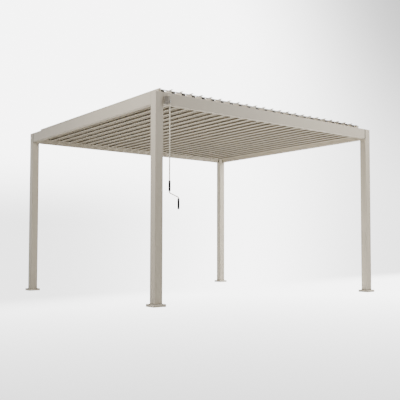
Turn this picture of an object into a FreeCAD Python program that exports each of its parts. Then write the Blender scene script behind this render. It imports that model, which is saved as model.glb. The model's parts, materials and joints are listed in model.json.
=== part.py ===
"""Louvred pergola: four posts, four beams, pivoting roof blades and a hand crank.

Millimetres. +Z is up, X runs along the front beam, the front faces -Y.
The origin is on the ground, under the middle of the roof.
The blades stand open at rest; turned 90 degrees about their pins they close.
"""
import FreeCAD
import Part
import math
import os

V = FreeCAD.Vector
X_AXIS = V(1, 0, 0)
Y_AXIS = V(0, 1, 0)
Z_AXIS = V(0, 0, 1)

# Frame
OVERALL_X = 3930.0
OVERALL_Y = 3660.0
FRAME_TOP = 2492.0
POST_SIDE = 106.0
POST_WALL = 3.0
POST_EDGE_R = 4.0
BEAM_HEIGHT = 142.0
BEAM_WIDTH = 60.0
BEAM_WALL = 3.0
BEAM_EDGE_R = 2.0
SEAM = 0.3
CUT_MARGIN = 1.0

# Feet and caps
ANCHOR_COVER_GAP = 2.5
ANCHOR_THICK = 8.0
ANCHOR_HOLE_INSET = 15.0
ANCHOR_HOLE_R = 7.0
COVER_SIDE = 170.0
COVER_HEIGHT = 31.0
COVER_WALL = 2.5
COVER_EDGE_R = 3.0
COVER_BEVEL = 2.0
COVER_POST_GAP = 0.3
CAP_THICK = 3.0
CAP_BEVEL = 1.0
CAP_PLUG_DEPTH = 20.0
CAP_PLUG_WALL = 2.5
CAP_PLUG_GAP = 0.3

# Roof blades: the section is drawn closed, u across the roof and t upwards
BLADE_PITCH = 151.0
BLADE_WALL = 1.6
BLADE_HALF_THICK = 25.0
BODY_LEFT = -57.0
BODY_RIGHT = 59.0
WING_TIP = 86.5
LIP_DROP = 26.0
GUTTER_TIP = -82.0
HOOK_RISE = 33.0
EDGE_BEVEL = 7.0
PIVOT_DROP = 12.0
OPEN_ANGLE = -90.0
PIN_R = 6.0
PIN_HOLE_GAP = 0.1
END_CAP_THICK = 2.5
END_CAP_DRAIN_BEVEL = 13.0

# Bearing rails on the inner faces of the front and back beams
RAIL_THICK = 6.0
RAIL_HEIGHT = 38.0
PIN_END_GAP = 0.3

# Tie bar that turns all blades together
MOVING_GAP = 5.0
TIE_THICK = 4.0
TIE_HEIGHT = 12.0
TIE_RISE = 58.0
TIE_LEAN = 33.5
TIE_END = 14.0
DRIVE_PIN_R = 4.0
DRIVE_HOLE_GAP = 0.5
DRIVE_EAR_R = 9.0
DRIVE_PIN_PROUD = 1.5

# Gearbox on the front beam beside the near post
GEAR_WIDTH = 52.0
GEAR_HEIGHT = 90.0
GEAR_DEPTH = 28.0
GEAR_POST_GAP = 3.0
GEAR_LIFT = 2.0
GEAR_EDGE_R = 5.0
WHEEL_COVER_R = 19.0
WHEEL_COVER_PROUD = 3.0
WHEEL_COVER_DROP = 26.0
WORM_TUBE_R = 9.0
WORM_TUBE_RISE = 20.0
WORM_TUBE_INSET = 4.0
BRACKET_RISE = 4.0
BRACKET_HEIGHT = 16.0
BRACKET_NOSE_R = 10.0
EYE_SHAFT_R = 4.0
EYE_SHAFT_LENGTH = 52.0
EYE_RING_R = 11.0
EYE_WIRE_R = 3.5
EYE_SECTION_SIDES = 8

# Crank: hook, rod, two turning grips
CRANK_X_FROM_GEAR = 25.0
CRANK_FORWARD = 17.0
HOOK_WIRE_R = 3.0
HOOK_SEAT_GAP = 0.3
HOOK_LEG_OFFSET = 11.5
HOOK_LEG_LENGTH = 24.0
HOOK_TIP_LENGTH = 16.0
HOOK_BEND_R = 6.0
HOOK_NECK_DROP = 22.0
HOOK_TAIL = 12.0
CRANK_ROD_R = 7.0
CRANK_CORE_R = 6.0
CRANK_REACH = 924.0
UPPER_GRIP_LENGTH = 123.0
UPPER_GRIP_R = 12.5
CRANK_SHOULDER = 20.0
CRANK_ARM_OUT = 128.0
CRANK_ARM_DROP = 46.0
CRANK_ARM_BEND_R = 14.0
LOWER_STUB = 14.0
LOWER_GRIP_LENGTH = 126.0
LOWER_GRIP_R = 12.0
GRIP_BORE_GAP = 0.1
GRIP_BEVEL = 3.0
GRIP_STOP_R = 8.0
GRIP_STOP_THICK = 3.0
GRIP_END_GAP = 0.3

# Places worked out from the sizes above
POST_X = (OVERALL_X - POST_SIDE) / 2
POST_Y = (OVERALL_Y - POST_SIDE) / 2
POST_TOP = FRAME_TOP - CAP_THICK
ANCHOR_SIDE = COVER_SIDE - 2 * COVER_WALL - 2 * ANCHOR_COVER_GAP
BEAM_BOTTOM = FRAME_TOP - BEAM_HEIGHT
BEAM_X_LENGTH = OVERALL_X - 2 * POST_SIDE - 2 * SEAM
BEAM_Y_LENGTH = OVERALL_Y - 2 * POST_SIDE - 2 * SEAM
BEAM_FRONT_Y = -OVERALL_Y / 2 + BEAM_WIDTH / 2
BEAM_SIDE_X = -OVERALL_X / 2 + BEAM_WIDTH / 2
BEAM_INNER_Y = OVERALL_Y / 2 - BEAM_WIDTH
PIVOT_Z = FRAME_TOP - PIVOT_DROP
RAIL_FACE_Y = BEAM_INNER_Y - RAIL_THICK
TIE_OUTER_Y = RAIL_FACE_Y - MOVING_GAP
TIE_INNER_Y = TIE_OUTER_Y - TIE_THICK
BLADE_END_Y = TIE_INNER_Y - MOVING_GAP
PIN_END_Y = BEAM_INNER_Y - PIN_END_GAP
END_BLADE_END_Y = OVERALL_Y / 2 - POST_SIDE - MOVING_GAP
BEAM_INNER_X = OVERALL_X / 2 - BEAM_WIDTH
WING_SWEEP = math.hypot(WING_TIP, BLADE_HALF_THICK)
GUTTER_SWEEP = math.hypot(GUTTER_TIP, BLADE_HALF_THICK)
LEAD_X = -BEAM_INNER_X + MOVING_GAP + GUTTER_SWEEP
BLADE_ROOM = BEAM_INNER_X - MOVING_GAP - WING_SWEEP - LEAD_X
BLADE_COUNT = int(BLADE_ROOM // BLADE_PITCH) + 1
CORNERS = [("near", -1, -1), ("left", -1, 1), ("right", 1, -1), ("rear", 1, 1)]


def box(x0, x1, y0, y1, z0, z1):
    """A block between two corners."""
    return Part.makeBox(x1 - x0, y1 - y0, z1 - z0, V(x0, y0, z0))


def centred_box(cx, cy, side_x, side_y, z0, z1):
    """A block centred on (cx, cy) in plan."""
    return box(cx - side_x / 2, cx + side_x / 2, cy - side_y / 2, cy + side_y / 2, z0, z1)


def rounded_along(shape, axis, radius):
    """Round the edges of a block that run along one axis."""
    edges = []
    for edge in shape.Edges:
        run = edge.Vertexes[1].Point - edge.Vertexes[0].Point
        if abs(run.dot(axis)) > 0.999 * run.Length:
            edges.append(edge)
    return shape.makeFillet(radius, edges)


def bevelled_top(shape, top, bevel):
    """Chamfer the edges round the top face of a block."""
    edges = []
    for edge in shape.Edges:
        if edge.BoundBox.ZMin > top - bevel / 2:
            edges.append(edge)
    return shape.makeChamfer(bevel, edges)


def tube(shape_outer, shape_inner):
    """An outer form with an inner form taken out."""
    return shape_outer.cut(shape_inner)


def bent_wire(points, bend_r):
    """A path of straight runs joined by tangent arcs of one radius."""
    edges = []
    start = points[0]
    for before, corner, after in zip(points, points[1:], points[2:]):
        back = (before - corner).normalize()
        ahead = (after - corner).normalize()
        half = back.getAngle(ahead) / 2
        reach = bend_r / math.tan(half)
        first = corner + back * reach
        last = corner + ahead * reach
        inward = (back + ahead).normalize()
        centre = corner + inward * (bend_r / math.sin(half))
        middle = centre - inward * bend_r
        edges.append(Part.LineSegment(start, first).toShape())
        edges.append(Part.Arc(first, middle, last).toShape())
        start = last
    edges.append(Part.LineSegment(start, points[-1]).toShape())
    return Part.Wire(edges)


def round_bar(points, bend_r, bar_r):
    """A round bar bent along a path."""
    path = bent_wire(points, bend_r)
    direction = points[1] - points[0]
    ring = Part.Wire([Part.makeCircle(bar_r, points[0], direction)])
    return path.makePipeShell([ring], True, False)


def cylinder(radius, start, end):
    """A round bar between two points."""
    run = end - start
    return Part.makeCylinder(radius, run.Length, start, run)


def post(cx, cy):
    """A square hollow post that stands on its anchor plate."""
    outer = centred_box(cx, cy, POST_SIDE, POST_SIDE, ANCHOR_THICK, POST_TOP)
    outer = rounded_along(outer, Z_AXIS, POST_EDGE_R)
    bore_side = POST_SIDE - 2 * POST_WALL
    inner = centred_box(cx, cy, bore_side, bore_side, ANCHOR_THICK, POST_TOP)
    return tube(outer, inner)


def post_cap(cx, cy):
    """A flat lid with a square plug that drops into the post."""
    lid = centred_box(cx, cy, POST_SIDE, POST_SIDE, POST_TOP, FRAME_TOP)
    lid = bevelled_top(rounded_along(lid, Z_AXIS, POST_EDGE_R), FRAME_TOP, CAP_BEVEL)
    plug_side = POST_SIDE - 2 * POST_WALL - 2 * CAP_PLUG_GAP
    core_side = plug_side - 2 * CAP_PLUG_WALL
    plug_bottom = POST_TOP - CAP_PLUG_DEPTH
    plug = tube(centred_box(cx, cy, plug_side, plug_side, plug_bottom, POST_TOP),
                centred_box(cx, cy, core_side, core_side, plug_bottom, POST_TOP))
    return lid.fuse(plug).removeSplitter()


def anchor_plate(cx, cy):
    """A steel plate under the post with four bolt holes."""
    plate = centred_box(cx, cy, ANCHOR_SIDE, ANCHOR_SIDE, 0, ANCHOR_THICK)
    half = ANCHOR_SIDE / 2 - ANCHOR_HOLE_INSET
    for dx in (-half, half):
        for dy in (-half, half):
            hole = Part.makeCylinder(ANCHOR_HOLE_R, ANCHOR_THICK, V(cx + dx, cy + dy, 0))
            plate = plate.cut(hole)
    return plate


def foot_cover(cx, cy):
    """A low skirt that hides the anchor plate, with a square hole round the post."""
    outer = centred_box(cx, cy, COVER_SIDE, COVER_SIDE, 0, COVER_HEIGHT)
    outer = bevelled_top(rounded_along(outer, Z_AXIS, COVER_EDGE_R), COVER_HEIGHT, COVER_BEVEL)
    room = COVER_SIDE - 2 * COVER_WALL
    inner = centred_box(cx, cy, room, room, 0, COVER_HEIGHT - COVER_WALL)
    hole_side = POST_SIDE + 2 * COVER_POST_GAP
    hole = centred_box(cx, cy, hole_side, hole_side, 0, COVER_HEIGHT)
    return outer.cut(inner).cut(hole)


def beam_along_x(cy):
    """A hollow beam between two posts, front or back."""
    half = BEAM_X_LENGTH / 2
    y0 = cy - BEAM_WIDTH / 2
    y1 = cy + BEAM_WIDTH / 2
    outer = rounded_along(box(-half, half, y0, y1, BEAM_BOTTOM, FRAME_TOP), X_AXIS, BEAM_EDGE_R)
    inner = box(-half, half, y0 + BEAM_WALL, y1 - BEAM_WALL,
                BEAM_BOTTOM + BEAM_WALL, FRAME_TOP - BEAM_WALL)
    return tube(outer, inner)


def beam_along_y(cx):
    """A hollow beam between two posts, left or right."""
    half = BEAM_Y_LENGTH / 2
    x0 = cx - BEAM_WIDTH / 2
    x1 = cx + BEAM_WIDTH / 2
    outer = rounded_along(box(x0, x1, -half, half, BEAM_BOTTOM, FRAME_TOP), Y_AXIS, BEAM_EDGE_R)
    inner = box(x0 + BEAM_WALL, x1 - BEAM_WALL, -half, half,
                BEAM_BOTTOM + BEAM_WALL, FRAME_TOP - BEAM_WALL)
    return tube(outer, inner)


def blade_x(index):
    """Centre of a blade across the roof, counted from the lead blade."""
    return LEAD_X + index * BLADE_PITCH


def bearing_rail(side):
    """A flat rail with one pin hole for each blade."""
    y0 = min(side * RAIL_FACE_Y, side * BEAM_INNER_Y)
    reach = BEAM_X_LENGTH / 2
    rail = box(-reach, reach, y0, y0 + RAIL_THICK, FRAME_TOP - RAIL_HEIGHT, FRAME_TOP)
    hole_r = PIN_R + PIN_HOLE_GAP
    hole_length = RAIL_THICK + 2 * CUT_MARGIN
    holes = []
    for index in range(BLADE_COUNT):
        start = V(blade_x(index), y0 - CUT_MARGIN, PIVOT_Z)
        holes.append(Part.makeCylinder(hole_r, hole_length, start, Y_AXIS))
    return rail.cut(Part.makeCompound(holes))


def section_face(points):
    """A flat face in the XZ plane from (u, t) pairs."""
    corners = [V(u, 0, t) for u, t in points]
    return Part.Face(Part.makePolygon(corners + [corners[0]]))


def blade_section():
    """The closed blade's section: a hollow body, a top wing and a bottom gutter."""
    top = BLADE_HALF_THICK
    low = -BLADE_HALF_THICK
    wall = BLADE_WALL
    bevel = EDGE_BEVEL
    inner_bevel = bevel + wall * (math.sqrt(2) - 1)
    outline = [
        (BODY_LEFT, low + wall),
        (BODY_LEFT, top - bevel),
        (BODY_LEFT + bevel, top),
        (WING_TIP, top),
        (WING_TIP, top - LIP_DROP),
        (WING_TIP - wall, top - LIP_DROP),
        (WING_TIP - wall, top - wall),
        (BODY_RIGHT, top - wall),
        (BODY_RIGHT, low + bevel),
        (BODY_RIGHT - bevel, low),
        (GUTTER_TIP, low),
        (GUTTER_TIP, low + HOOK_RISE),
        (GUTTER_TIP + wall, low + HOOK_RISE),
        (GUTTER_TIP + wall, low + wall),
    ]
    chamber = [
        (BODY_LEFT + wall, low + wall),
        (BODY_LEFT + wall, top - inner_bevel),
        (BODY_LEFT + inner_bevel, top - wall),
        (BODY_RIGHT - wall, top - wall),
        (BODY_RIGHT - wall, low + inner_bevel),
        (BODY_RIGHT - inner_bevel, low + wall),
    ]
    return section_face(outline), section_face(chamber)


def end_cap_outline():
    """The end cap's form: the hollow body's, with one corner cut back to drain it."""
    top = BLADE_HALF_THICK
    bevel = EDGE_BEVEL
    drain = END_CAP_DRAIN_BEVEL
    return section_face([
        (BODY_LEFT, -top),
        (BODY_LEFT, top - bevel),
        (BODY_LEFT + bevel, top),
        (BODY_RIGHT, top),
        (BODY_RIGHT, -top + drain),
        (BODY_RIGHT - drain, -top),
    ])


def drive_ear():
    """The lug on the front end cap that carries the tie bar pin."""
    pin_u = TIE_RISE
    pin_t = TIE_LEAN
    lug = Part.makeCylinder(DRIVE_EAR_R, END_CAP_THICK, V(pin_u, 0, pin_t), Y_AXIS)
    root = section_face([
        (pin_u - DRIVE_EAR_R, 0),
        (pin_u - DRIVE_EAR_R, pin_t),
        (pin_u + DRIVE_EAR_R, pin_t),
        (pin_u + DRIVE_EAR_R, BLADE_HALF_THICK - BLADE_WALL / 2),
        (BODY_RIGHT, 0),
    ]).extrude(V(0, END_CAP_THICK, 0))
    return lug.fuse(root)


def closed_blade(end_y):
    """One blade on its pivot axis, closed, with end caps, pins and the drive pin."""
    outline, chamber = blade_section()
    length = 2 * end_y
    shell = outline.extrude(V(0, length, 0)).cut(chamber.extrude(V(0, length, 0)))
    shell.translate(V(0, -end_y, 0))
    front_cap = end_cap_outline().extrude(V(0, END_CAP_THICK, 0)).fuse(drive_ear())
    front_cap.translate(V(0, -end_y, 0))
    back_cap = end_cap_outline().extrude(V(0, -END_CAP_THICK, 0))
    back_cap.translate(V(0, end_y, 0))
    solid = shell.fuse([front_cap, back_cap])
    pin_length = PIN_END_Y - end_y + END_CAP_THICK
    for side in (-1, 1):
        root_y = side * (end_y - END_CAP_THICK)
        out = V(0, side, 0)
        solid = solid.fuse(Part.makeCylinder(PIN_R, pin_length, V(0, root_y, 0), out))
    drive_start = V(TIE_RISE, -end_y + END_CAP_THICK, TIE_LEAN)
    drive_length = END_CAP_THICK + TIE_OUTER_Y - end_y + DRIVE_PIN_PROUD
    drive_pin = Part.makeCylinder(DRIVE_PIN_R, drive_length, drive_start, V(0, -1, 0))
    return solid.fuse(drive_pin).removeSplitter()


def louver(index, closed):
    """A blade in its place, turned open."""
    blade = closed.copy()
    blade.rotate(V(0, 0, 0), Y_AXIS, OPEN_ANGLE)
    blade.translate(V(blade_x(index), 0, PIVOT_Z))
    return blade


def open_place(u, t):
    """Where a point of the closed section lies beside the pivot when open."""
    turn = math.radians(OPEN_ANGLE)
    dx = u * math.cos(turn) + t * math.sin(turn)
    dz = -u * math.sin(turn) + t * math.cos(turn)
    return dx, dz


def tie_bar():
    """The flat bar that joins the drive pins of all blades."""
    dx, dz = open_place(TIE_RISE, TIE_LEAN)
    centre_z = PIVOT_Z + dz
    x0 = blade_x(0) + dx - TIE_END
    x1 = blade_x(BLADE_COUNT - 1) + dx + TIE_END
    bar = box(x0, x1, -TIE_OUTER_Y, -TIE_INNER_Y,
              centre_z - TIE_HEIGHT / 2, centre_z + TIE_HEIGHT / 2)
    hole_r = DRIVE_PIN_R + DRIVE_HOLE_GAP
    hole_length = TIE_THICK + 2 * CUT_MARGIN
    holes = []
    for index in range(BLADE_COUNT):
        start = V(blade_x(index) + dx, -TIE_OUTER_Y - CUT_MARGIN, centre_z)
        holes.append(Part.makeCylinder(hole_r, hole_length, start, Y_AXIS))
    return bar.cut(Part.makeCompound(holes))


BEAM_FACE_Y = -OVERALL_Y / 2
GEAR_X0 = -OVERALL_X / 2 + POST_SIDE + GEAR_POST_GAP
GEAR_X1 = GEAR_X0 + GEAR_WIDTH
GEAR_Z0 = BEAM_BOTTOM + GEAR_LIFT
GEAR_Z1 = GEAR_Z0 + GEAR_HEIGHT
CRANK_X = GEAR_X1 + CRANK_X_FROM_GEAR
CRANK_Y = BEAM_FACE_Y - CRANK_FORWARD
BRACKET_Z0 = GEAR_Z1 + BRACKET_RISE
EYE_Z = BRACKET_Z0 - EYE_SHAFT_LENGTH - EYE_RING_R
HOOK_Z = EYE_Z - EYE_RING_R + EYE_WIRE_R + HOOK_SEAT_GAP + HOOK_WIRE_R
UPPER_GRIP_TOP_Z = EYE_Z - CRANK_REACH


def gearbox():
    """The worm gear housing on the beam's outer face."""
    front_y = BEAM_FACE_Y - GEAR_DEPTH
    body = box(GEAR_X0, GEAR_X1, front_y, BEAM_FACE_Y, GEAR_Z0, GEAR_Z1)
    body = rounded_along(body, Y_AXIS, GEAR_EDGE_R)
    middle_x = (GEAR_X0 + GEAR_X1) / 2
    wheel_z = GEAR_Z1 - WHEEL_COVER_DROP
    wheel_cover = cylinder(WHEEL_COVER_R, V(middle_x, BEAM_FACE_Y, wheel_z),
                           V(middle_x, front_y - WHEEL_COVER_PROUD, wheel_z))
    worm_y = front_y - WHEEL_COVER_PROUD + WORM_TUBE_R
    worm_z = GEAR_Z0 + WORM_TUBE_RISE
    worm_tube = cylinder(WORM_TUBE_R, V(GEAR_X0 + WORM_TUBE_INSET, worm_y, worm_z),
                         V(GEAR_X1 - WORM_TUBE_INSET, worm_y, worm_z))
    return body.fuse([wheel_cover, worm_tube]).removeSplitter()


def shaft_bracket():
    """The bearing block that holds the eye's shaft, with a round nose about it."""
    top = BRACKET_Z0 + BRACKET_HEIGHT
    arm = box(GEAR_X1, CRANK_X, CRANK_Y - BRACKET_NOSE_R, BEAM_FACE_Y, BRACKET_Z0, top)
    root = box(GEAR_X1, CRANK_X + BRACKET_NOSE_R, CRANK_Y, BEAM_FACE_Y, BRACKET_Z0, top)
    nose = cylinder(BRACKET_NOSE_R, V(CRANK_X, CRANK_Y, BRACKET_Z0), V(CRANK_X, CRANK_Y, top))
    return arm.fuse([root, nose]).removeSplitter()


def crank_eye():
    """The ring that the crank hooks into, under its shaft."""
    centre = V(CRANK_X, CRANK_Y, EYE_Z)
    half_side = math.pi / EYE_SECTION_SIDES
    corner_r = EYE_WIRE_R / math.cos(half_side)
    corners = []
    for index in range(EYE_SECTION_SIDES):
        turn = (2 * index + 1) * half_side
        corners.append(centre + V(corner_r * math.sin(turn), 0,
                                  EYE_RING_R + corner_r * math.cos(turn)))
    section = Part.Face(Part.makePolygon(corners + [corners[0]]))
    ring = section.revolve(centre, X_AXIS, 360)
    shaft = cylinder(EYE_SHAFT_R, V(CRANK_X, CRANK_Y, EYE_Z + EYE_RING_R),
                     V(CRANK_X, CRANK_Y, BRACKET_Z0))
    return ring.fuse(shaft).removeSplitter()


def crank_rod():
    """Hook, straight rod, cranked arm and the cores that the grips turn on."""
    left = CRANK_X - HOOK_LEG_OFFSET
    right = CRANK_X + HOOK_LEG_OFFSET
    neck_z = HOOK_Z - HOOK_LEG_LENGTH - HOOK_NECK_DROP
    hook = round_bar([
        V(left, CRANK_Y, HOOK_Z - HOOK_TIP_LENGTH),
        V(left, CRANK_Y, HOOK_Z),
        V(right, CRANK_Y, HOOK_Z),
        V(right, CRANK_Y, HOOK_Z - HOOK_LEG_LENGTH),
        V(CRANK_X, CRANK_Y, neck_z),
        V(CRANK_X, CRANK_Y, neck_z - HOOK_TAIL),
    ], HOOK_BEND_R, HOOK_WIRE_R)
    rod = cylinder(CRANK_ROD_R, V(CRANK_X, CRANK_Y, neck_z),
                   V(CRANK_X, CRANK_Y, UPPER_GRIP_TOP_Z + GRIP_STOP_THICK))
    grip_bottom = UPPER_GRIP_TOP_Z - UPPER_GRIP_LENGTH
    stop = cylinder(GRIP_STOP_R, V(CRANK_X, CRANK_Y, UPPER_GRIP_TOP_Z + GRIP_STOP_THICK),
                    V(CRANK_X, CRANK_Y, UPPER_GRIP_TOP_Z + GRIP_END_GAP))
    lower_stop = cylinder(GRIP_STOP_R, V(CRANK_X, CRANK_Y, grip_bottom - GRIP_END_GAP),
                          V(CRANK_X, CRANK_Y, grip_bottom - GRIP_STOP_THICK))
    arm_x = CRANK_X + CRANK_ARM_OUT
    arm_top = grip_bottom - CRANK_SHOULDER
    arm_low = arm_top - CRANK_ARM_DROP
    stub_end = lower_grip_top() - LOWER_GRIP_LENGTH - GRIP_STOP_THICK
    core = round_bar([
        V(CRANK_X, CRANK_Y, UPPER_GRIP_TOP_Z + GRIP_STOP_THICK),
        V(CRANK_X, CRANK_Y, arm_top),
        V(arm_x, CRANK_Y, arm_low),
        V(arm_x, CRANK_Y, stub_end),
    ], CRANK_ARM_BEND_R, CRANK_CORE_R)
    upper_ring = cylinder(GRIP_STOP_R, V(arm_x, CRANK_Y, lower_grip_top() + GRIP_STOP_THICK),
                          V(arm_x, CRANK_Y, lower_grip_top() + GRIP_END_GAP))
    end_ring = cylinder(GRIP_STOP_R,
                        V(arm_x, CRANK_Y, lower_grip_top() - LOWER_GRIP_LENGTH - GRIP_END_GAP),
                        V(arm_x, CRANK_Y, stub_end))
    parts = [rod, stop, lower_stop, core, upper_ring, end_ring]
    return hook.fuse(parts).removeSplitter()


def lower_grip_top():
    """Height of the lower grip's upper end."""
    grip_bottom = UPPER_GRIP_TOP_Z - UPPER_GRIP_LENGTH
    return grip_bottom - CRANK_SHOULDER - CRANK_ARM_DROP - LOWER_STUB


def grip(x, top, length, radius):
    """A plastic sleeve that turns freely on the crank's core."""
    sleeve = cylinder(radius, V(x, CRANK_Y, top - length), V(x, CRANK_Y, top))
    rims = [edge for edge in sleeve.Edges if edge.Curve.TypeId == "Part::GeomCircle"]
    sleeve = sleeve.makeChamfer(GRIP_BEVEL, rims)
    bore = cylinder(CRANK_CORE_R + GRIP_BORE_GAP, V(x, CRANK_Y, top - length - CUT_MARGIN),
                    V(x, CRANK_Y, top + CUT_MARGIN))
    return sleeve.cut(bore)


def build():
    """All pieces by name."""
    pieces = {}
    for name, sx, sy in CORNERS:
        cx = sx * POST_X
        cy = sy * POST_Y
        pieces["post_" + name] = post(cx, cy)
        pieces["post_cap_" + name] = post_cap(cx, cy)
        pieces["anchor_plate_" + name] = anchor_plate(cx, cy)
        pieces["foot_cover_" + name] = foot_cover(cx, cy)
    pieces["beam_front"] = beam_along_x(BEAM_FRONT_Y)
    pieces["beam_back"] = beam_along_x(-BEAM_FRONT_Y)
    pieces["beam_left"] = beam_along_y(BEAM_SIDE_X)
    pieces["beam_right"] = beam_along_y(-BEAM_SIDE_X)
    pieces["bearing_rail_front"] = bearing_rail(-1)
    pieces["bearing_rail_back"] = bearing_rail(1)
    full_blade = closed_blade(BLADE_END_Y)
    end_blade = closed_blade(END_BLADE_END_Y)
    for index in range(BLADE_COUNT):
        closed = end_blade if index in (0, BLADE_COUNT - 1) else full_blade
        pieces["louver_%02d" % (index + 1)] = louver(index, closed)
    pieces["tie_bar"] = tie_bar()
    pieces["gearbox"] = gearbox()
    pieces["shaft_bracket"] = shaft_bracket()
    pieces["crank_eye"] = crank_eye()
    pieces["crank_rod"] = crank_rod()
    pieces["upper_grip"] = grip(CRANK_X, UPPER_GRIP_TOP_Z, UPPER_GRIP_LENGTH, UPPER_GRIP_R)
    pieces["lower_grip"] = grip(CRANK_X + CRANK_ARM_OUT, lower_grip_top(),
                                LOWER_GRIP_LENGTH, LOWER_GRIP_R)
    return pieces


os.makedirs("parts", exist_ok=True)
for name, shape in build().items():
    solids = shape.Solids
    centre = solids[0].CenterOfMass
    print(name, "solids", len(solids), "valid", shape.isValid(),
          "volume", round(shape.Volume), "centre", [round(c, 2) for c in centre])
    shape.exportStep("parts/" + name + ".step")
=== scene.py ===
"""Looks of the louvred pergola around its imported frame. Metres, +Z up, the front faces -Y."""

import bmesh
import bpy
import json
import math
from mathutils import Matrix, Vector


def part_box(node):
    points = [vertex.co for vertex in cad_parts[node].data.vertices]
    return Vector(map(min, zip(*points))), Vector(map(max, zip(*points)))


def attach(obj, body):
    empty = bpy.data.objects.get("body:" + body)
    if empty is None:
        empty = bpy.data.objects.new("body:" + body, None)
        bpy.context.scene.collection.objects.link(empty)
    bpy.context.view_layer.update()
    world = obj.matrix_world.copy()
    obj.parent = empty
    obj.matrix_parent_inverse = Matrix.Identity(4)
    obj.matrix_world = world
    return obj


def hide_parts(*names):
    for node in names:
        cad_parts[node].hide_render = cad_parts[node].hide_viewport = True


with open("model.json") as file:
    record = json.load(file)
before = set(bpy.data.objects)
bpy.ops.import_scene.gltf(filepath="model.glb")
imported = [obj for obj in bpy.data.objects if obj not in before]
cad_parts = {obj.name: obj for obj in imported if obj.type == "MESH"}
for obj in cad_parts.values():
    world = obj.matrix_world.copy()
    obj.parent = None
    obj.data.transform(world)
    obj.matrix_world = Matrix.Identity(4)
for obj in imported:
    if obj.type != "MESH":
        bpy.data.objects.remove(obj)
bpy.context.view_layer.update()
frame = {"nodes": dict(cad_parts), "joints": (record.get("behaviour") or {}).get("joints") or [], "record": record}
MM = 0.001

# Sizes of the frame's blades: the hollow body about its pivot when open, and both kinds of pin
BLADE_HALF = 25 * MM
BODY_LOW = 57 * MM
BODY_HIGH = 59 * MM
PIN_RADIUS = 6 * MM
DRIVE_PIN_RADIUS = 4 * MM

# Sides of a full turn in round pieces
ROUND_SIDES = 24
SCREW_SIDES = 16
NUT_SIDES = 6
GRIP_SIDES = 36

# Sockets of the colour mix node, which share their names with its other kinds
MIX_AMOUNT = 0
MIX_FIRST = 6
MIX_SECOND = 7
MIX_RESULT = 2


def srgb(code):
    """A hex colour as linear RGBA."""
    channels = [int(code[i:i + 2], 16) / 255 for i in (1, 3, 5)]
    linear = [c / 12.92 if c <= 0.04045 else ((c + 0.055) / 1.055) ** 2.4 for c in channels]
    return (*linear, 1.0)


def node(owner, kind, inputs=None, **settings):
    """Adds one node to a material or world, with its settings, and with its inputs, by name or
    number, as values or links."""
    made = owner.node_tree.nodes.new(kind)
    for name, value in settings.items():
        setattr(made, name, value)
    for socket, value in (inputs or {}).items():
        if isinstance(value, bpy.types.NodeSocket):
            owner.node_tree.links.new(value, made.inputs[socket])
        else:
            made.inputs[socket].default_value = value
    return made


def empty_material(name):
    """A node material that holds only its output."""
    material = bpy.data.materials.new(name)
    material.use_nodes = True
    material.node_tree.nodes.clear()
    return material


def close_material(material, shader):
    """Joins the last shader to the surface output."""
    node(material, "ShaderNodeOutputMaterial", {"Surface": shader})
    return material


# Sprayed coat: orange peel is 6 mm across, coarser than the real 1 mm so that it shows, and the
# tone drifts over 600 mm
PEEL_ACROSS = 6 * MM
PEEL_DEPTH = 0.3 * MM
PEEL_STRENGTH = 0.12
DRIFT_ACROSS = 600 * MM
COAT_IOR = 1.5
# The grain of moulded plastic, and the fine lines on metal
GRAIN_DEPTH = 0.2 * MM
PLASTIC_IOR = 1.47
LINE_DEPTH = 0.1 * MM
LINE_STRENGTH = 0.15


def powder_coat(name, colour, shade, roughness):
    """Polyester powder coat, sprayed and baked: matt, with fine orange peel and a faint drift
    in tone."""
    material = empty_material(name)
    place = node(material, "ShaderNodeTexCoord").outputs["Object"]
    grain = node(material, "ShaderNodeTexNoise",
                 {"Vector": place, "Scale": 1 / PEEL_ACROSS, "Detail": 4.0, "Roughness": 0.6})
    cloud = node(material, "ShaderNodeTexNoise",
                 {"Vector": place, "Scale": 1 / DRIFT_ACROSS, "Detail": 2.0})
    tone = node(material, "ShaderNodeMix",
                {MIX_AMOUNT: cloud.outputs["Fac"], MIX_FIRST: srgb(colour),
                 MIX_SECOND: srgb(shade)}, data_type="RGBA")
    bump = node(material, "ShaderNodeBump",
                {"Strength": PEEL_STRENGTH, "Distance": PEEL_DEPTH,
                 "Height": grain.outputs["Fac"]})
    shader = node(material, "ShaderNodeBsdfPrincipled",
                  {"Base Color": tone.outputs[MIX_RESULT], "Roughness": roughness,
                   "IOR": COAT_IOR, "Normal": bump.outputs["Normal"]})
    return close_material(material, shader.outputs[0])


def moulded_plastic(name, colour, shade, roughness, grain, strength):
    """Injection-moulded plastic, and the matt black of the painted joint shade, with a fine spark-eroded grain."""
    material = empty_material(name)
    place = node(material, "ShaderNodeTexCoord").outputs["Object"]
    speckle = node(material, "ShaderNodeTexNoise",
                   {"Vector": place, "Scale": 1 / (grain * MM), "Detail": 3.0})
    tone = node(material, "ShaderNodeMix",
                {MIX_AMOUNT: speckle.outputs["Fac"], MIX_FIRST: srgb(colour),
                 MIX_SECOND: srgb(shade)}, data_type="RGBA")
    bump = node(material, "ShaderNodeBump",
                {"Strength": strength, "Distance": GRAIN_DEPTH, "Height": speckle.outputs["Fac"]})
    shader = node(material, "ShaderNodeBsdfPrincipled",
                  {"Base Color": tone.outputs[MIX_RESULT], "Roughness": roughness,
                   "IOR": PLASTIC_IOR, "Normal": bump.outputs["Normal"]})
    return close_material(material, shader.outputs[0])


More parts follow.
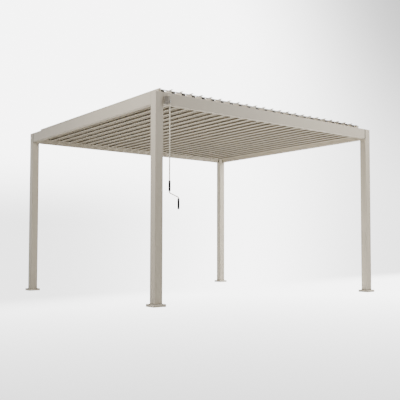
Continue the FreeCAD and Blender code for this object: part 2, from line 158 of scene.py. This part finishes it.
def bare_metal(name, colour, shade, roughness, stretch, grain):
    """Uncoated metal: lines along the bar where it is stretched, and a cloud where it isn't."""
    material = empty_material(name)
    place = node(material, "ShaderNodeTexCoord").outputs["Object"]
    drawn = node(material, "ShaderNodeMapping", {"Vector": place, "Scale": stretch})
    streak = node(material, "ShaderNodeTexNoise",
                  {"Vector": drawn.outputs["Vector"], "Scale": 1 / (grain * MM),
                   "Detail": 3.0})
    tone = node(material, "ShaderNodeMix",
                {MIX_AMOUNT: streak.outputs["Fac"], MIX_FIRST: srgb(colour),
                 MIX_SECOND: srgb(shade)}, data_type="RGBA")
    bump = node(material, "ShaderNodeBump",
                {"Strength": LINE_STRENGTH, "Distance": LINE_DEPTH,
                 "Height": streak.outputs["Fac"]})
    shader = node(material, "ShaderNodeBsdfPrincipled",
                  {"Base Color": tone.outputs[MIX_RESULT], "Roughness": roughness,
                   "Metallic": 1.0, "Normal": bump.outputs["Normal"]})
    return close_material(material, shader.outputs[0])


# Finishes of the pieces, each in two close tones, with the grain in millimetres

# Pebble grey coat on aluminium: matt, and it takes the light evenly
coat = powder_coat("powder_coated_aluminium", "#bbb19f", "#b6ac9a", roughness=0.55)
# A paler coat on drawn steel rod, a little smoother
rod_coat = powder_coat("powder_coated_steel_rod", "#d8cfbd", "#d2c9b7", roughness=0.45)
# Aluminium as it leaves the die: dull grey, with faint lines along the bar
mill = bare_metal("mill_finish_aluminium", "#8d8a84", "#7f7c76", roughness=0.42,
                  stretch=(0.02, 1.0, 1.0), grain=1.5)
# Bright zinc on steel: pale and faintly clouded
zinc = bare_metal("zinc_plated_steel", "#a9aaa8", "#8f908e", roughness=0.38,
                  stretch=(1.0, 1.0, 1.0), grain=4)
# Glass-filled nylon: grey-brown and dull, with a fine grain
housing = moulded_plastic("glass_filled_nylon_housing", "#7c7468", "#746c61", roughness=0.5,
                          grain=1.2, strength=0.3)
# Black polypropylene: a satin sheen along its ribs
black = moulded_plastic("black_polypropylene_grip", "#0f0f0f", "#161615", roughness=0.42,
                        grain=0.8, strength=0.25)
# Dark nylon: brown-black and dull
cap_plastic = moulded_plastic("dark_nylon_end_cap", "#3e3730", "#38312b", roughness=0.6,
                              grain=1.5, strength=0.2)
# Matt black with no sheen: painted shade, laid as strips in the gaps where beams meet posts and round the post
# feet
joint_shade_black = moulded_plastic("black_painted_joint_shade", "#191817", "#141312", roughness=0.8,
                         grain=1.0, strength=0.3)

BY_SLOT = {"powder_coat": coat, "tie_aluminium": mill, "zinc_steel": zinc,
           "gear_housing": housing, "crank_steel": rod_coat, "grip_plastic": black}
for entry in frame["record"]["subparts"]:
    data = frame["nodes"][entry["node"]].data
    data.materials.clear()
    data.materials.append(BY_SLOT[entry["material_slot"]])


def place_piece(bm, name, material, body, at=(0, 0, 0)):
    """Turns mesh code into a piece that rides on a body."""
    mesh = bpy.data.meshes.new(name)
    bmesh.ops.recalc_face_normals(bm, faces=bm.faces)
    bm.to_mesh(mesh)
    bm.free()
    mesh.materials.append(material)
    piece = bpy.data.objects.new(name, mesh)
    bpy.context.scene.collection.objects.link(piece)
    piece.location = at
    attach(piece, body)
    return piece


def share_piece(piece, name, body, at):
    """A second piece with the same mesh, in another place."""
    twin = bpy.data.objects.new(name, piece.data)
    bpy.context.scene.collection.objects.link(twin)
    twin.location = at
    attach(twin, body)
    return twin


def add_prism(bm, outline, near, far):
    """A solid whose (x, z) outline runs between two places along Y."""
    rings = [[bm.verts.new((x, y, z)) for x, z in outline] for y in (near, far)]
    count = len(outline)
    bm.faces.new(rings[0])
    bm.faces.new(list(reversed(rings[1])))
    for i in range(count):
        j = (i + 1) % count
        bm.faces.new((rings[0][i], rings[0][j], rings[1][j], rings[1][i]))


def add_turned(bm, base, axis, profile, sides, closed=False):
    """A turned solid: (radius, height) points from its base along an axis. A closed profile
    goes round on itself, as a ring's does."""
    turn = Vector((0, 0, 1)).rotation_difference(Vector(axis)).to_matrix()
    rings = []
    for radius, height in profile:
        count = sides if radius > 0 else 1
        angles = [math.tau * i / sides for i in range(count)]
        rings.append([bm.verts.new(Vector(base) + turn @ Vector(
            (radius * math.cos(a), radius * math.sin(a), height))) for a in angles])
    pairs = list(zip(rings, rings[1:]))
    if closed:
        pairs.append((rings[-1], rings[0]))
    for low, high in pairs:
        for i in range(sides):
            j = (i + 1) % sides
            corners = dict.fromkeys([low[i % len(low)], low[j % len(low)],
                                     high[j % len(high)], high[i % len(high)]])
            if len(corners) > 2:
                bm.faces.new(corners)
    if not closed:
        for ring in (rings[0], rings[-1]):
            if len(ring) > 1:
                bm.faces.new(ring)


EASED_EDGE = 0.3
# A pan head with a dished socket, in shares of its radius and height
PAN_HEAD = [(1, 0), (1, 0.35), (0.92, 0.7), (0.7, 0.95), (0.45, 1), (0.38, 0.5), (0, 0.45)]


def add_washer(bm, base, axis, inner, outer, thick):
    """A flat ring with its outer edge eased by a share of its thickness."""
    ease = thick * EASED_EDGE
    add_turned(bm, base, axis, [
        (inner, 0), (outer, 0), (outer, thick - ease), (outer - ease, thick), (inner, thick),
    ], ROUND_SIDES, closed=True)


def add_screw(bm, seat, axis, radius, height):
    """The head of a pan-head screw."""
    profile = [(radius * across, height * up) for across, up in PAN_HEAD]
    add_turned(bm, seat, axis, profile, SCREW_SIDES)


def add_collar(bm, low, high, axis, wall):
    """A square collar between two corners, open along one axis."""
    first, second = [other for other in range(3) if other != axis]
    rings = []
    for end in (low[axis], high[axis]):
        for inset in (0, wall):
            ring = []
            for high_first, high_second in ((0, 0), (1, 0), (1, 1), (0, 1)):
                spot = [0, 0, 0]
                spot[axis] = end
                spot[first] = high[first] - inset if high_first else low[first] + inset
                spot[second] = high[second] - inset if high_second else low[second] + inset
                ring.append(bm.verts.new(spot))
            rings.append(ring)
    near_out, near_in, far_out, far_in = rings
    for one, other in ((near_out, near_in), (far_out, far_in), (near_out, far_out),
                       (near_in, far_in)):
        for i in range(4):
            j = (i + 1) % 4
            bm.faces.new((one[i], one[j], other[j], other[i]))


LOUVERS = sorted(name for name in frame["nodes"] if name.startswith("louver_"))
PIVOTS = {joint["child"]: Vector(joint["pos_m"]) for joint in frame["joints"]}

# Blade ends: dark moulded caps, drawn as (x, z) about the pivot of an open blade
MOVING_GAP = 5 * MM
BLADE_REACH = -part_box("tie_bar")[1].y - MOVING_GAP
SHORT_REACH = -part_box("post_near")[1].y - MOVING_GAP
CAP_PROUD = 1 * MM
CAP_FACE = BLADE_REACH + CAP_PROUD
CAP_EDGE = 7 * MM
DRAIN_EDGE = 13 * MM
CAP_SCREW_R = 3.2 * MM
CAP_SCREW_H = 1.2 * MM
FULL_CAP = [
    (-BLADE_HALF, -BODY_LOW + CAP_EDGE), (-BLADE_HALF, BODY_HIGH),
    (BLADE_HALF - DRAIN_EDGE, BODY_HIGH), (BLADE_HALF, BODY_HIGH - DRAIN_EDGE),
    (BLADE_HALF, -BODY_LOW), (-BLADE_HALF + CAP_EDGE, -BODY_LOW),
]
# The first and last blades are short to pass the posts; an end block brings their caps to the
# same line and leaves out the corner that would swing into the post
FIRST_CAP_LOW = -28 * MM
LAST_CAP_HIGH = 34 * MM
FIRST_CAP = [
    (-BLADE_HALF, FIRST_CAP_LOW), (-BLADE_HALF, BODY_HIGH),
    (BLADE_HALF - DRAIN_EDGE, BODY_HIGH), (BLADE_HALF, BODY_HIGH - DRAIN_EDGE),
    (BLADE_HALF, FIRST_CAP_LOW),
]
LAST_CAP = [
    (-BLADE_HALF, -BODY_LOW), (-BLADE_HALF, LAST_CAP_HIGH), (BLADE_HALF, LAST_CAP_HIGH),
    (BLADE_HALF, -BODY_LOW),
]
# A kind of end: the cap's outline, where the blade's own body ends, and the heights of its screws
CAP_KINDS = {
    LOUVERS[0]: (FIRST_CAP, SHORT_REACH, (-18 * MM, 36 * MM)),
    LOUVERS[-1]: (LAST_CAP, SHORT_REACH, (-36 * MM, 20 * MM)),
}
FULL_KIND = (FULL_CAP, BLADE_REACH, (-36 * MM, 36 * MM))

# Retaining clips on the drive pins, outside the tie bar
DRIVE_PIN_X = -33.5 * MM
DRIVE_PIN_Z = 58 * MM
CLIP_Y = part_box("tie_bar")[0].y
CLIP_RADIUS = 6.5 * MM
CLIP_THICK = 0.8 * MM


def ends_mesh(outline, near, far):
    """The same prism on both ends of a blade."""
    bm = bmesh.new()
    for side in (-1, 1):
        add_prism(bm, outline, side * near, side * far)
    return bm


def cap_fixings(screw_heights):
    """The screws that hold both caps, and the clip on the drive pin."""
    bm = bmesh.new()
    for side in (-1, 1):
        for height in screw_heights:
            seat = (0, side * CAP_FACE, height)
            add_screw(bm, seat, (0, side, 0), CAP_SCREW_R, CAP_SCREW_H)
    add_washer(bm, (DRIVE_PIN_X, CLIP_Y, DRIVE_PIN_Z), (0, -1, 0), DRIVE_PIN_RADIUS,
               CLIP_RADIUS, CLIP_THICK)
    return bm


def dress_blades():
    """Caps, screws and clips on every blade; blades of one kind share their meshes."""
    made = {}
    for name in LOUVERS:
        number = name.split("_")[1]
        kind = CAP_KINDS.get(name, FULL_KIND)
        caps_name = "end_caps_" + number
        fixings_name = "end_cap_fixings_" + number
        pivot = PIVOTS[name]
        if kind is FULL_KIND and made:
            share_piece(made["caps"], caps_name, name, pivot)
            share_piece(made["fixings"], fixings_name, name, pivot)
            continue
        outline, seat, screw_heights = kind
        caps = place_piece(ends_mesh(outline, BLADE_REACH, CAP_FACE), caps_name, cap_plastic,
                           name, pivot)
        if seat < BLADE_REACH:
            place_piece(ends_mesh(outline, seat, BLADE_REACH), "end_blocks_" + number, coat,
                        name, pivot)
        fixings = place_piece(cap_fixings(screw_heights), fixings_name, zinc, name,
                              pivot)
        if kind is FULL_KIND:
            made = {"caps": caps, "fixings": fixings}


dress_blades()

# Rails: a flanged bush round each blade pin, and a screw between every third pair of blades
BUSH_WALL = 4 * MM
BUSH_THICK = 1 * MM
PIN_GAP = 0.1 * MM
RAIL_SCREW_R = 5 * MM
RAIL_SCREW_H = 3 * MM
RAIL_SCREW_EVERY = 3
FIRST_RAIL_SCREW = 1


def dress_rails():
    """Bushes and screws on the inner faces of both bearing rails."""
    bushes = bmesh.new()
    screws = bmesh.new()
    half_pitch = (PIVOTS[LOUVERS[1]].x - PIVOTS[LOUVERS[0]].x) / 2
    for rail, side in (("bearing_rail_front", 1), ("bearing_rail_back", -1)):
        low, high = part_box(rail)
        face = high.y if side > 0 else low.y
        for i, name in enumerate(LOUVERS):
            pivot = PIVOTS[name]
            add_washer(bushes, (pivot.x, face, pivot.z), (0, side, 0), PIN_RADIUS + PIN_GAP,
                       PIN_RADIUS + BUSH_WALL, BUSH_THICK)
            if i % RAIL_SCREW_EVERY == FIRST_RAIL_SCREW:
                seat = (pivot.x + half_pitch, face, (low.z + high.z) / 2)
                add_screw(screws, seat, (0, side, 0), RAIL_SCREW_R, RAIL_SCREW_H)
    place_piece(bushes, "blade_pin_bushes", black, "frame")
    place_piece(screws, "rail_screws", zinc, "frame")


dress_rails()

# Black strips that paint the shadow gap where the beams meet the posts, and the contact shadow where the posts
# enter their covers
SHADOW_GAP_WIDE = 16 * MM
SHADOW_GAP_PROUD = 0.4 * MM
CONTACT_SHADE_HIGH = 5 * MM
CONTACT_SHADE_PROUD = 2 * MM
# Each beam, the axis that it runs along, and its ends with a painted shadow gap; the near corner is tight
BEAM_ENDS = [("beam_front", 0, ("high",)), ("beam_back", 0, ("low", "high")),
             ("beam_left", 1, ("high",)), ("beam_right", 1, ("low", "high"))]
CORNERS = ("near", "left", "right", "rear")


def paint_joint_shade():
    """A black band of painted shadow round each loose beam end, and a band of painted contact shadow round the
    foot of each post.
    """
    bm = bmesh.new()
    proud = Vector((SHADOW_GAP_PROUD,) * 3)
    for beam, axis, ends in BEAM_ENDS:
        box_low, box_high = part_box(beam)
        for end in ends:
            low, high = box_low - proud, box_high + proud
            start = box_low[axis] if end == "low" else box_high[axis] - SHADOW_GAP_WIDE
            low[axis] = start
            high[axis] = start + SHADOW_GAP_WIDE
            add_collar(bm, low, high, axis, 2 * SHADOW_GAP_PROUD)
    proud = Vector((CONTACT_SHADE_PROUD, CONTACT_SHADE_PROUD, 0))
    for corner in CORNERS:
        low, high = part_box("post_" + corner)
        low, high = low - proud, high + proud
        low.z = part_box("foot_cover_" + corner)[1].z
        high.z = low.z + CONTACT_SHADE_HIGH
        add_collar(bm, low, high, 2, CONTACT_SHADE_PROUD)
    place_piece(bm, "painted_joint_shade_strips", joint_shade_black, "frame")


paint_joint_shade()

# Fixings of the gearbox and its bracket
GEAR_SCREW_R = 2.8 * MM
GEAR_SCREW_H = 1.6 * MM
GEAR_SCREW_INSET = 6.5 * MM
NUT_RADIUS = 6.5 * MM
NUT_HEIGHT = 5 * MM
NUT_TOP_SHARE = 0.86
NUT_SIDE_SHARE = 0.85
WHEEL_COVER_PROUD = 3 * MM


def dress_gearbox():
    """Four screws in the housing's face and the lock nut on top of the eye's shaft."""
    low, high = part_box("gearbox")
    face = low.y + WHEEL_COVER_PROUD
    bm = bmesh.new()
    for x in (low.x + GEAR_SCREW_INSET, high.x - GEAR_SCREW_INSET):
        for z in (low.z + GEAR_SCREW_INSET, high.z - GEAR_SCREW_INSET):
            add_screw(bm, (x, face, z), (0, -1, 0), GEAR_SCREW_R, GEAR_SCREW_H)
    eye_low, eye_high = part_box("crank_eye")
    middle = (eye_low + eye_high) / 2
    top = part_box("shaft_bracket")[1].z
    add_turned(bm, (middle.x, middle.y, top), (0, 0, 1), [
        (NUT_RADIUS, 0), (NUT_RADIUS, NUT_HEIGHT * NUT_SIDE_SHARE),
        (NUT_RADIUS * NUT_TOP_SHARE, NUT_HEIGHT),
    ], NUT_SIDES)
    place_piece(bm, "gearbox_fixings", zinc, "frame")


dress_gearbox()

# Crank grips: moulded sleeves, slightly swollen, with rounded ribs
GRIP_BORE = 6.1 * MM
GRIP_END_R = 3 * MM
RIB_PITCH = 8 * MM
RIB_PROUD = 0.9 * MM
GRIP_SWELL = 0.6 * MM
# A rib's rounded section, in shares of its pitch and of its rise
RIB_SHAPE = ((0.05, 0), (0.2, 0.8), (0.5, 1), (0.8, 0.8), (0.95, 0))


def dress_grip(node_name):
    """A ribbed sleeve in place of the plain grip."""
    low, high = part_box(node_name)
    middle = (low + high) / 2
    length = high.z - low.z
    radius = (high.x - low.x) / 2

    def barrel(height):
        """The sleeve's radius between its ribs."""
        return radius + GRIP_SWELL * math.sin(math.pi * height / length)

    ease = GRIP_END_R / 3
    profile = [(GRIP_BORE, 0), (radius - GRIP_END_R, 0), (radius - ease, ease),
               (radius, GRIP_END_R)]
    ribs = int((length - 4 * GRIP_END_R) / RIB_PITCH)
    start = (length - ribs * RIB_PITCH) / 2
    for i in range(ribs):
        base = start + i * RIB_PITCH
        for step, rise in RIB_SHAPE:
            height = base + step * RIB_PITCH
            profile.append((barrel(height) + rise * RIB_PROUD, height))
    profile += [(radius, length - GRIP_END_R), (radius - ease, length - ease),
                (radius - GRIP_END_R, length), (GRIP_BORE, length)]
    bm = bmesh.new()
    add_turned(bm, (0, 0, -length / 2), (0, 0, 1), profile, GRIP_SIDES, closed=True)
    sleeve = place_piece(bm, node_name + "_sleeve", black, node_name, middle)
    for face in sleeve.data.polygons:
        face.use_smooth = True
    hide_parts(node_name)


for grip in ("upper_grip", "lower_grip"):
    dress_grip(grip)

# Camera, solved from the posts and beams
CAMERA_PLACE = Vector((-5.9388, -7.9432, 0.6921))
CAMERA_YAW = 50.782
CAMERA_PITCH = 2.7203
FOCAL_PIXELS = 633.74
CENTRE_PIXEL = (223.77, 216.36)
PHOTO_SIZE = 400
SENSOR = 36.0

camera_data = bpy.data.cameras.new("camera")
camera_data.sensor_width = SENSOR
camera_data.lens = FOCAL_PIXELS * SENSOR / PHOTO_SIZE
camera_data.shift_x = (PHOTO_SIZE / 2 - CENTRE_PIXEL[0]) / PHOTO_SIZE
camera_data.shift_y = (CENTRE_PIXEL[1] - PHOTO_SIZE / 2) / PHOTO_SIZE
camera = bpy.data.objects.new("camera", camera_data)
bpy.context.scene.collection.objects.link(camera)
camera.location = CAMERA_PLACE
camera.rotation_euler = (math.radians(90 + CAMERA_PITCH), 0, math.radians(CAMERA_YAW - 90))
bpy.context.scene.camera = camera

# White studio: the floor's paint runs out into a lit wall. The room's own directions are inward,
# towards its back wall, and sideways, to the right
ROOM_HEADING = math.radians(50.8)
INWARD = Vector((math.cos(ROOM_HEADING), math.sin(ROOM_HEADING), 0))
SIDEWAYS = Vector((INWARD.y, -INWARD.x, 0))
UPWARD = Vector((0, 0, 1))
FLOOR_HALF = 90.0
FLOOR_PAINT = "#d9d9d6"
# The pool of light painted on the floor as a glow that only the camera sees, in metres along the room, from its
# dark to its bright end
POOL_REACH = (-7.0, -0.9)
PAINTED_POOL_GLOW = (2.35, 6.1)
# Where the floor runs out: along a slanted line at the back, and all round far away
EDGE_SLANT = 1.2
EDGE_REACH = (-1.5, 1.6)
FADE_REACH = (8.0, 15.0)
# The wall's glow, and the share of it that is kept at the top right, the right and the low left.
# A range is how far a look's direction goes along one of the room's, 1 being straight that way
WALL_GLOW = 6.584
CORNER_SLANT = 0.908
CORNER_RANGE = (0.307, 0.601)
CORNER_KEPT = 0.370
RIGHT_RANGE = (-0.010, 0.275)
RIGHT_KEPT = 0.473
LEFT_RANGE = (0.100, -0.287)
LOW_RANGE = (0.147, 0.033)
LOW_LEFT_KEPT = 0.482


def span(value, reach, ends):
    """Map Range inputs: the result runs from one end to the other while the value runs over
    its reach."""
    return {"Value": value, "From Min": reach[0], "From Max": reach[1], "To Min": ends[0],
            "To Max": ends[1]}


def floor_with_painted_light_pool():
    """Matt floor paint that bounces light. Seen directly it glows as a painted pool of light,
    with painted shade towards the front, that runs out into the wall."""
    material = empty_material("studio_floor_paint")
    place = node(material, "ShaderNodeTexCoord").outputs["Object"]
    inward = node(material, "ShaderNodeVectorMath", {0: place, 1: INWARD},
                  operation="DOT_PRODUCT")
    pool = node(material, "ShaderNodeMapRange",
                span(inward.outputs["Value"], POOL_REACH, PAINTED_POOL_GLOW),
                interpolation_type="LINEAR")
    to_edge = node(material, "ShaderNodeVectorMath",
                   {0: place, 1: INWARD - EDGE_SLANT * SIDEWAYS}, operation="DOT_PRODUCT")
    edge = node(material, "ShaderNodeMapRange",
                span(to_edge.outputs["Value"], EDGE_REACH, (0, 1)),
                interpolation_type="SMOOTHSTEP")
    distance = node(material, "ShaderNodeVectorMath", {0: place}, operation="LENGTH")
    far = node(material, "ShaderNodeMapRange",
               span(distance.outputs["Value"], FADE_REACH, (0, 1)),
               interpolation_type="SMOOTHSTEP")
    # Painted light: the glow of the painted pool, seen by the camera only
    lit = node(material, "ShaderNodeEmission", {"Strength": pool.outputs["Result"]})
    open_wall = node(material, "ShaderNodeBsdfTransparent")
    matt = node(material, "ShaderNodeBsdfDiffuse", {"Color": srgb(FLOOR_PAINT)})
    back = node(material, "ShaderNodeMixShader",
                {0: edge.outputs["Result"], 1: lit.outputs[0], 2: open_wall.outputs[0]})
    seen = node(material, "ShaderNodeMixShader",
                {0: far.outputs["Result"], 1: back.outputs[0], 2: open_wall.outputs[0]})
    eye = node(material, "ShaderNodeLightPath").outputs["Is Camera Ray"]
    paint = node(material, "ShaderNodeMixShader",
                 {0: eye, 1: matt.outputs[0], 2: seen.outputs[0]})
    return close_material(material, paint.outputs[0])


def studio_wall():
    """The wall behind, brightest at the top left and darker to the right and low left; it is
    only seen, and the softboxes light the object."""
    world = bpy.data.worlds.new("studio_wall")
    world.use_nodes = True
    world.node_tree.nodes.clear()
    way = node(world, "ShaderNodeTexCoord").outputs["Generated"]
    lengths = {}
    for name, direction in (("across", SIDEWAYS), ("up", UPWARD),
                            ("corner", SIDEWAYS + CORNER_SLANT * UPWARD)):
        lengths[name] = node(world, "ShaderNodeVectorMath", {0: way, 1: direction},
                             operation="DOT_PRODUCT").outputs["Value"]
    parts = {}
    for name, length, reach, ends in (
            ("corner", lengths["corner"], CORNER_RANGE, (1, CORNER_KEPT)),
            ("right", lengths["across"], RIGHT_RANGE, (1, RIGHT_KEPT)),
            ("left", lengths["across"], LEFT_RANGE, (0, 1)),
            ("low", lengths["up"], LOW_RANGE, (0, 1))):
        parts[name] = node(world, "ShaderNodeMapRange", span(length, reach, ends),
                           interpolation_type="SMOOTHSTEP").outputs["Result"]
    both = node(world, "ShaderNodeMath", {0: parts["left"], 1: parts["low"]},
                operation="MULTIPLY")
    low_left = node(world, "ShaderNodeMapRange",
                    span(both.outputs["Value"], (0, 1), (1, LOW_LEFT_KEPT)),
                    interpolation_type="LINEAR")
    upper = node(world, "ShaderNodeMath", {0: parts["corner"], 1: parts["right"]},
                 operation="MULTIPLY")
    lower = node(world, "ShaderNodeMath", {0: low_left.outputs["Result"], 1: WALL_GLOW},
                 operation="MULTIPLY")
    glow = node(world, "ShaderNodeMath", {0: upper.outputs["Value"], 1: lower.outputs["Value"]},
                operation="MULTIPLY")
    seen = node(world, "ShaderNodeBackground",
                {"Color": (1, 1, 1, 1), "Strength": glow.outputs["Value"]})
    dark = node(world, "ShaderNodeBackground", {"Strength": 0.0})
    eye = node(world, "ShaderNodeLightPath").outputs["Is Camera Ray"]
    wall = node(world, "ShaderNodeMixShader", {0: eye, 1: dark.outputs[0], 2: seen.outputs[0]})
    node(world, "ShaderNodeOutputWorld", {"Surface": wall.outputs[0]})
    return world


floor_mesh = bpy.data.meshes.new("studio_floor")
floor_mesh.from_pydata([(x * FLOOR_HALF, y * FLOOR_HALF, 0)
                        for x, y in ((-1, -1), (1, -1), (1, 1), (-1, 1))], [], [(0, 1, 2, 3)])
floor_mesh.materials.append(floor_with_painted_light_pool())
floor = bpy.data.objects.new("studio_floor", floor_mesh)
bpy.context.scene.collection.objects.link(floor)
bpy.context.scene.world = studio_wall()

# Softboxes: name, place, aim, side in metres, power in watts
ROOM_MIDDLE = (0, 0, 1.4)
SOFTBOXES = [
    ("right", (7.794, 0.000, 5.900), ROOM_MIDDLE, 3.5, 1841),
    ("right_high", (3.447, -2.893, 9.194), ROOM_MIDDLE, 3.5, 643),
    ("back_left_low", (-5.753, 6.856, 2.341), ROOM_MIDDLE, 3.5, 220),
    ("near_corner", (-4.6, -1.5, 4.2), (-1.97, -1.5, 2.4), 1.6, 163),
    ("near_corner_front", (-4.6, -3.5, 4.2), (-1.97, -3.5, 2.4), 1.6, 82),
    ("front_beam", (1.0, -4.6, 4.2), (1.0, -1.83, 2.4), 1.6, 66),
    ("front_right", (3.0, -4.6, 4.2), (3.0, -1.83, 2.4), 1.6, 147),
    ("floor_left", (-1.3, -0.5, 0.02), (-1.3, -0.5, 2.0), 1.6, 15.0),
    ("floor_right", (1.0, -1.0, 0.02), (1.0, -1.0, 2.0), 1.6, 16.0),
    ("table_right", (1.2, -1.2, 0.9), (1.2, -1.2, 2.0), 1.2, 4.6),
]
# One flagged light reaches the rear post only
REAR_POST_LIGHT = ("rear_post", (-0.8, 1.3, 1.2), (1.9, 1.75, 1.2), 1.0, 34.2)
REAR_POST_NODES = ("post_rear", "foot_cover_rear")


def add_softbox(name, place, aim, side, power):
    """A square area light that the camera doesn't see."""
    lamp_data = bpy.data.lights.new(name, "AREA")
    lamp_data.shape = "SQUARE"
    lamp_data.size = side
    lamp_data.energy = power
    lamp = bpy.data.objects.new(name, lamp_data)
    bpy.context.scene.collection.objects.link(lamp)
    lamp.location = place
    lamp.rotation_euler = (Vector(aim) - Vector(place)).to_track_quat("-Z", "Y").to_euler()
    lamp.visible_camera = False
    return lamp


for softbox in SOFTBOXES:
    add_softbox(*softbox)
rear_post_lit = bpy.data.collections.new("rear_post_lit")
for lit_node in REAR_POST_NODES:
    rear_post_lit.objects.link(frame["nodes"][lit_node])
add_softbox(*REAR_POST_LIGHT).light_linking.receiver_collection = rear_post_lit
